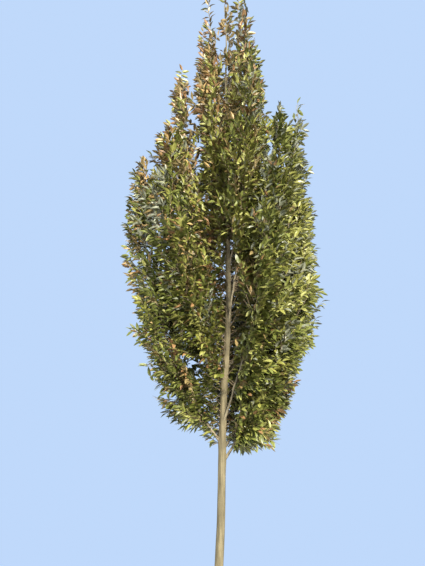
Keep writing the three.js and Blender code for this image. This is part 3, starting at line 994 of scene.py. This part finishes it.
# %% The leaves along one shoot
LEAF_LENGTH = 0.066
LEAF_SPACING = (0.016, 0.028)
LEAF_ANGLE = (72, 50)
LEAF_DROOP = (0.35, 0.12)
OUTWARD_PULL = (0.8, 0.35)
LEAF_SIZE_PLACES = (0, 0.45, 1)
LEAF_SIZES = (0.75, 1.05, 0.90)
LEAF_SIZE_JITTER = (0.82, 1.15)
HIGH_LEAF_SIZE = 1.2
LEAF_PLACE_JITTER = 0.006
LEAF_ANGLE_JITTER = 12
LEAF_WAY_SPREAD = 0.28
LEAF_FACE_SPREAD = 0.45
END_LEAF_TURN = 0.25
SIDE_BARE = 0.012
HALF_PROBE = 0.004
LIGHT_SEEKING = 1.5
LIGHT_OUTWARD = 0.15


def leaves_of_shoot(shoot, chance):
    """Feet, directions, upper sides and sizes of the leaves along one shoot."""
    spans = np.linalg.norm(np.diff(shoot.line, axis=0), axis=-1)
    run = np.concatenate([[0], np.cumsum(spans)])
    bare = BARE_SHARE * run[-1] if shoot.order == 1 else SIDE_BARE
    spacing = mix(*LEAF_SPACING, shoot.plan.share)
    count = max(2, int((run[-1] - bare) / spacing) + 1)
    jitter = chance.uniform(-LEAF_PLACE_JITTER, LEAF_PLACE_JITTER, count)
    place = np.clip(np.linspace(bare, run[-1], count) + jitter, 0, run[-1])

    def points_at(runs):
        return np.stack([np.interp(runs, run, shoot.line[:, axis]) for axis in range(3)], -1)

    feet = points_at(place)
    ahead = unit(points_at(place + HALF_PROBE) - points_at(place - HALF_PROBE) + 1e-9)
    share = place / run[-1]
    aside = unit(np.cross(shoot.normal, ahead))
    hand = np.where(np.arange(count) % 2, 1.0, -1.0)
    angle = mix(*LEAF_ANGLE, share) + chance.uniform(-LEAF_ANGLE_JITTER, LEAF_ANGLE_JITTER, count)
    angle = np.radians(angle)
    angle[-1] *= END_LEAF_TURN
    along = ahead * np.cos(angle)[:, None] + aside * (hand * np.sin(angle))[:, None]
    outward = feet - trunk_axis(feet[:, 2])
    outward[:, 2] = 0
    outward = unit(outward + 1e-6)
    high = np.clip((feet[:, 2:] - CROWN.lowest) / CROWN.highest, 0, 1)
    along = along + mix(*OUTWARD_PULL, high) * outward - mix(*LEAF_DROOP, high) * UP
    along = unit(along + chance.normal(0, LEAF_WAY_SPREAD, (count, 3)))
    light = UP + LIGHT_OUTWARD * outward
    side_of_spray = shoot.normal * np.sign(np.dot(shoot.normal, light.mean(0)) + 1e-9)
    upper = side_of_spray + LIGHT_SEEKING * light + chance.normal(0, LEAF_FACE_SPREAD, (count, 3))
    upper = unit(upper - along * (upper * along).sum(-1, keepdims=True))
    size = np.interp(share, LEAF_SIZE_PLACES, LEAF_SIZES) * chance.uniform(*LEAF_SIZE_JITTER, count)
    return feet, along, upper, size * mix(1, HIGH_LEAF_SIZE, shoot.plan.share)


print("leaves stand", *LEAF_SPACING, "m apart on the lowest and the highest bough")

# %% Place the leaves
LEAF_SEED = 2026
LEAF_OVERLAP = 0.03
REACH_MARGIN = 0.04


def within_reach(points):
    """Which points stay as near the trunk as the solids do, but for a small margin."""
    lowest = np.array(solid_box[0])[:2] - REACH_MARGIN
    highest = np.array(solid_box[1])[:2] + REACH_MARGIN
    return ((points[:, :2] > lowest) & (points[:, :2] < highest)).all(-1)


def place_leaves():
    """All leaves of the tree as arrays, with the number of each leaf's spray."""
    chance = np.random.default_rng(LEAF_SEED)
    columns = {"feet": [], "along": [], "upper": [], "size": [], "spray": []}
    for number, spray in enumerate(sprays):
        for shoot in spray:
            feet, along, upper, size = leaves_of_shoot(shoot, chance)
            middle = feet + along * (LEAF_LENGTH / 2)
            tip = feet + along * (LEAF_LENGTH * size)[:, None]
            overlap = np.interp(middle[:, 2], OVERLAP_HEIGHTS, OVERLAPS) + LEAF_OVERLAP
            keep = keeps_to_space(shoot.plan.number, middle, -overlap)
            keep &= clear_of_trunk(middle) & clear_of_trunk(tip)
            keep &= within_reach(tip) & within_foot(tip)
            owner = np.full(len(feet), number)
            for column, values in zip(columns.values(), (feet, along, upper, size, owner)):
                column.append(values[keep])
    return SimpleNamespace(**{name: np.concatenate(parts) for name, parts in columns.items()})


leaves = place_leaves()
print(len(leaves.feet), "leaves")

# %% [markdown]
# ## Autumn tints
# The crown is turning: most sprays are olive or mid green, and on the left and towards the tips whole
# sprays have gone bronze, russet or amber. Light is painted into the greens as well: deep green is
# painted shade low down and on the left, yellow-green is painted sunlight on the right and painted
# light inside the crown, and the greyish tint high up on both sides is a painted sky reflection.
# A painted pattern would slide across thousands of small leaves. Each spray is dealt one tint, most
# of its leaves keep it, and each tint is one plain material.

# %% The tints, and where each is common
TINTS = {
    "deep_green": (0.052, 0.061, 0.010),
    "green": (0.094, 0.106, 0.022),
    "olive": (0.138, 0.140, 0.030),
    "yellow_green": (0.168, 0.170, 0.048),
    "grey_green": (0.125, 0.133, 0.092),
    "bronze": (0.134, 0.101, 0.040),
    "russet": (0.155, 0.088, 0.036),
    "amber": (0.225, 0.155, 0.060),
}
# How often each tint falls to a kind of place in the crown.
TINT_ODDS = {
    # Deep green on the left and low down, most of all low on the left, is painted shade.
    "deep_green": {"anywhere": 0.05, "left": 0.8, "low": 0.2, "painted shade, low on the left": 1.7},
    # Fewer mid greens and more olive and yellow-green inside the crown are painted light there, and
    # yellow-green towards the right and the front is painted sunlight.
    "green": {"anywhere": 0.32, "inside": -0.192},
    "olive": {"not low": 0.48, "painted light inside, not low": 0.5},
    "yellow_green": {"painted sun, not low": 0.27, "painted light inside, not low": 0.35},
    # Grey-green high up on both sides is a painted reflection of the pale sky.
    "grey_green": {"anywhere": 0.02, "painted sky reflection, high on the sides": 1.6},
    "bronze": {"turning": 0.5},
    "russet": {"turning": 0.3},
    "amber": {"turning outside": 0.2},
}
PAINTED_SHADE_LOW = SimpleNamespace(below=4.3, fade=1.5, less_inside=0.7, share_lost=0.6, shade_from=0.5)
HIGH = SimpleNamespace(above=2.6, fade=3.6)
LEFT = SimpleNamespace(at=0.1, there=0.9, slope=1.9, edge=0.2)
# Painted sunlight: how much more yellow-green is dealt towards the right and the front, and less high
# up.
PAINTED_SUN = SimpleNamespace(middle=0.4, right=0.6, back=-0.25, high=-0.3, least=0.05)
TURNING = SimpleNamespace(
    anywhere=0.18, high=1.05, power=2.2, edge=0.6, most=0.85, less_inside=0.6, hastes=(-0.08, 0.10)
)


def kinds_of_place(place, depth, haste):
    """How far a place counts as each kind: depth goes from 0 outside the crown to 1 at the trunk,
    and haste is its bough's own haste to turn."""
    x, y, z = place
    left = np.clip(LEFT.there - LEFT.slope * (x - LEFT.at), 0, 1)
    edge = np.clip(-x - LEFT.edge, 0, 1)
    high = np.clip((z - HIGH.above) / HIGH.fade, 0, 1)
    turning = left * (TURNING.anywhere + TURNING.high * high**TURNING.power + haste)
    turning = np.clip(turning + TURNING.edge * edge, 0, TURNING.most)
    # Painted sunlight, strongest on the right and at the front.
    painted_sun = PAINTED_SUN.middle + PAINTED_SUN.right * x + PAINTED_SUN.back * y + PAINTED_SUN.high * high
    # Painted shade: deep green is dealt low down, less inside the crown and most low on the left, and
    # the lighter greens lose as much there.
    low = np.clip((PAINTED_SHADE_LOW.below - z) / PAINTED_SHADE_LOW.fade, 0, 1)
    low_outside = low * (1 - PAINTED_SHADE_LOW.less_inside * depth)
    not_low = 1 - PAINTED_SHADE_LOW.share_lost * low
    green = {
        "anywhere": 1,
        "left": max(-x, 0),
        "low": low_outside,
        "painted shade, low on the left": np.clip(PAINTED_SHADE_LOW.shade_from - x, 0, 1) * low_outside,
        "inside": depth,
        "not low": not_low,
        "painted light inside, not low": depth * not_low,
        "painted sun, not low": np.clip(painted_sun, PAINTED_SUN.least, 1) * not_low,
        "painted sky reflection, high on the sides": abs(x) * high,
    }
    kinds = {name: (1 - turning) * value for name, value in green.items()}
    kinds["turning"] = turning
    kinds["turning outside"] = turning * (1 - TURNING.less_inside * depth)
    return kinds


print(len(TINTS), "tints")

# %% Deal out the tints
INSIDE_FADE = 0.6
OWN_TINT_SHARE = 0.62
TINT_SEED = 77


def deal_tints():
    """A tint's number for each leaf: its spray's own for most, and one by the same odds for others."""
    chance = np.random.default_rng(TINT_SEED)
    hastes = chance.uniform(*TURNING.hastes, len(spires))
    tint_of_leaf = np.zeros(len(leaves.feet), int)
    for number, spray in enumerate(sprays):
        mine = np.flatnonzero(leaves.spray == number)
        if not len(mine):
            continue
        place = leaves.feet[mine].mean(0)
        gap = np.linalg.norm((place - trunk_axis(place[2]))[:2])
        depth = np.clip(1 - gap / INSIDE_FADE, 0, 1)
        kinds = kinds_of_place(place, depth, hastes[spray[0].plan.number])
        odds = np.array([
            sum(often * kinds[kind] for kind, often in TINT_ODDS[tint].items()) for tint in TINTS
        ])
        odds /= odds.sum()
        own = chance.choice(len(TINTS), p=odds)
        others = chance.choice(len(TINTS), len(mine), p=odds)
        tint_of_leaf[mine] = np.where(chance.random(len(mine)) < OWN_TINT_SHARE, own, others)
    return tint_of_leaf


tint_of_leaf = deal_tints()
print({name: int((tint_of_leaf == number).sum()) for number, name in enumerate(TINTS)})

# %% [markdown]
# ## One leaf's shape
# A hornbeam leaf is a pointed oval with a straight midrib, folded along it like an open book and
# pleated by its side veins. Each is a sheet of a few facets: halves that rise from the midrib, an
# edge that goes up and down with the pleats, and a short stalk. Four of them, folded and curled to
# different degrees, are enough that no two neighbours look alike.

# %% Shape the leaves
LEAF_STATIONS = (0.17, 0.43, 0.74)
LEAF_WIDTH = 0.40
LEAF_WIDEST_AT = 0.42
LEAF_POWERS = (0.72, 0.95)
STALK_WIDTH = 0.02
PLEAT = 0.018
# Each kind's fold, curl and twist.
LEAF_KINDS = {
    "flat": (10, 0.04, 0),
    "folded": (28, 0.10, 8),
    "curled": (18, 0.22, -12),
    "cupped": (38, 0.06, 14),
}


def leaf_half_width(along):
    """Half the blade's width at a share of its length."""
    before = (along / LEAF_WIDEST_AT) ** LEAF_POWERS[0]
    after = ((1 - along) / (1 - LEAF_WIDEST_AT)) ** LEAF_POWERS[1]
    return LEAF_WIDTH / 2 * before * after


def leaf_mesh(kind, fold, curl, twist):
    """A leaf of length 1 along Y with its upper side towards Z: fold and twist in degrees."""
    points = [(-STALK_WIDTH / 2, 0, 0), (STALK_WIDTH / 2, 0, 0)]
    first = len(points)
    rise = math.radians(fold)
    for number, along in enumerate(LEAF_STATIONS):
        half = leaf_half_width(along)
        pleat = PLEAT if number % 2 else -PLEAT
        turn = math.radians(twist * along)
        for hand in (-1, 0, 1):
            across = hand * half * math.cos(rise)
            lift = abs(hand) * (half * math.sin(rise) + pleat)
            x = across * math.cos(turn) - lift * math.sin(turn)
            z = across * math.sin(turn) + lift * math.cos(turn)
            points.append((x, along, z - curl * along**2))
    tip = len(points)
    points.append((0, 1, -curl))
    last = tip - 3
    faces = [(0, first + 1, first), (0, 1, first + 1), (1, first + 2, first + 1)]
    for left in range(first, last, 3):
        for here in (left, left + 1):
            faces.append((here, here + 1, here + 4, here + 3))
    faces += [(last, last + 1, tip), (last + 1, last + 2, tip)]
    mesh = bpy.data.meshes.new("leaf_" + kind)
    mesh.from_pydata(points, [], faces)
    return mesh


leaf_shapes = bpy.data.collections.new("leaf_shapes")
for kind, (fold, curl, twist) in LEAF_KINDS.items():
    leaf_shapes.objects.link(bpy.data.objects.new("leaf_" + kind, leaf_mesh(kind, fold, curl, twist)))

# %% [markdown]
# ## Leaves on their points
# One node tree sets a leaf on each point. The point carries the leaf's direction, its upper side
# and its size, and the seed only picks which of the four shapes it gets. The instances are
# realized, because what leaves Blender has to be plain mesh, and one material is set on all.

# %% The tree that sets leaves on points
def leaf_tree():
    """Points to leaves, each turned to its own two directions."""
    tree, given, made, keys = node_tree("leaves_on_points", {
        "Leaf shapes": "NodeSocketCollection", "Leaf length": "NodeSocketFloat",
        "Kinds": "NodeSocketInt", "Seed": "NodeSocketInt", "Tint": "NodeSocketMaterial",
    })
    shapes = add_node(
        tree, "GeometryNodeCollectionInfo", Separate_Children=True, Reset_Children=True
    )
    turn = add_node(tree, "FunctionNodeAxesToRotation")
    turn.primary_axis = "Y"
    turn.secondary_axis = "Z"
    pick = add_node(tree, "FunctionNodeRandomValue")
    pick.data_type = "INT"
    length = add_node(tree, "ShaderNodeMath")
    length.operation = "MULTIPLY"
    place = add_node(tree, "GeometryNodeInstanceOnPoints", Pick_Instance=True)
    whole = {socket.identifier: socket for socket in pick.inputs}
    whole["Min_002"].default_value = 0
    link = tree.links.new
    link(given.outputs["Leaf shapes"], shapes.inputs["Collection"])
    link(named_attribute(tree, "along", "FLOAT_VECTOR"), turn.inputs["Primary Axis"])
    link(named_attribute(tree, "upper", "FLOAT_VECTOR"), turn.inputs["Secondary Axis"])
    link(given.outputs["Kinds"], whole["Max_002"])
    link(given.outputs["Seed"], whole["Seed"])
    link(named_attribute(tree, "size", "FLOAT"), length.inputs[0])
    link(given.outputs["Leaf length"], length.inputs[1])
    link(given.outputs["Geometry"], place.inputs["Points"])
    link(shapes.outputs["Instances"], place.inputs["Instance"])
    link([socket for socket in pick.outputs if socket.enabled][0], place.inputs["Instance Index"])
    link(turn.outputs["Rotation"], place.inputs["Rotation"])
    link(length.outputs["Value"], place.inputs["Scale"])
    end_tree(tree, place.outputs["Instances"], given.outputs["Tint"], made)
    return tree, keys


points_to_leaves, leaf_keys = leaf_tree()
print("its inputs are", list(leaf_keys))

# %% Set the leaves, tint by tint
MOST_LEAVES_IN_A_PIECE = 14000
LEAF_ROUGHNESS = 0.45
LEAF_SHEEN = 0.45
SHAPE_SEED = 11
NO_EDGES = np.zeros((0, 2), int)
leaf_pieces = []
for number, (tint, colour) in enumerate(TINTS.items()):
    material = plain_material("leaves_" + tint, colour, LEAF_ROUGHNESS, LEAF_SHEEN)
    mine = np.flatnonzero(tint_of_leaf == number)
    parts = np.array_split(mine, max(1, math.ceil(len(mine) / MOST_LEAVES_IN_A_PIECE)))
    for part_number, part in enumerate(parts, 1):
        name = f"leaves_{tint}_{part_number}"
        carried = {label: getattr(leaves, label)[part] for label in ("along", "upper", "size")}
        points = points_mesh(name, leaves.feet[part], NO_EDGES, carried)
        settings = {
            "Leaf shapes": leaf_shapes, "Leaf length": LEAF_LENGTH,
            "Kinds": len(LEAF_KINDS) - 1, "Seed": SHAPE_SEED + number, "Tint": material,
        }
        piece = grown(name, points, points_to_leaves, leaf_keys, settings, list(carried))
        leaf_pieces.append(piece)
        print(name, len(part), "leaves,", triangles(piece.data), "triangles")

for shape in list(leaf_shapes.objects):
    bpy.data.objects.remove(shape)
bpy.data.collections.remove(leaf_shapes)

# %% [markdown]
# ## What stands for what
# The trunk's mesh stands for the trunk's solid, and the boughs' mesh for the bare boughs. The masses
# are replaced by all that grows in them: the boughs' upper ends, the twigs and the leaves.

# %% Name the pieces' bodies and solids
bough_nodes = [f"bough_{plan.number + 1:02d}" for plan in spires[:-1]]
mass_nodes = [f"foliage_{plan.number + 1:02d}" for plan in spires[:-1]] + ["foliage_leader"]


def settle(piece, nodes):
    """Ties a piece to the tree's one body and hides the solids that it stands for."""
    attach(piece, "root")
    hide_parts(*nodes)


settle(trunk_piece, ["trunk"])
settle(bough_piece, bough_nodes + mass_nodes)
for piece in twig_pieces:
    settle(piece, mass_nodes)
for piece in leaf_pieces:
    settle(piece, mass_nodes)
print("replaced:", 1 + len(bough_nodes) + len(mass_nodes), "solids")

# %% Write the sizes and finish
all_pieces = [trunk_piece, bough_piece, *twig_pieces, *leaf_pieces]
print("in all", sum(triangles(piece.data) for piece in all_pieces), "triangles")
